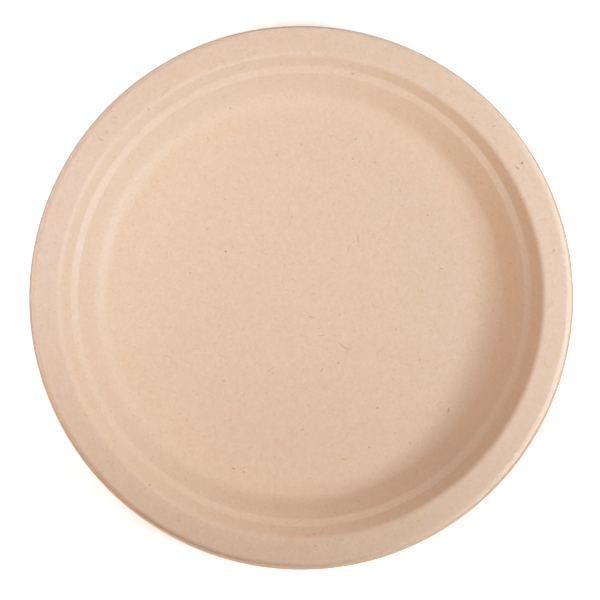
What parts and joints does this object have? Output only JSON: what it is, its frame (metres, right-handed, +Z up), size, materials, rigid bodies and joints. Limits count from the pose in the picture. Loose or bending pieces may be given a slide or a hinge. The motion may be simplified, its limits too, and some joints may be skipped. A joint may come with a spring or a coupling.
{
  "type": "paper plate",
  "caption": "Round moulded pulp dinner plate with a flat floor, coved side, stacking ledge, broad flat rim and thin trimmed edge.",
  "frame": {"origin": "centre of the flat underside, on the table that the plate rests on", "axes": "+Z up, along the axis of the round plate; the plate is the same in every direction around it"},
  "size_m": [0.229, 0.229, 0.019],
  "materials": {
    "pulp": "matte"
  },
  "bodies": {
    "root": {"plate": "pulp"}
  },
  "joints": []
}
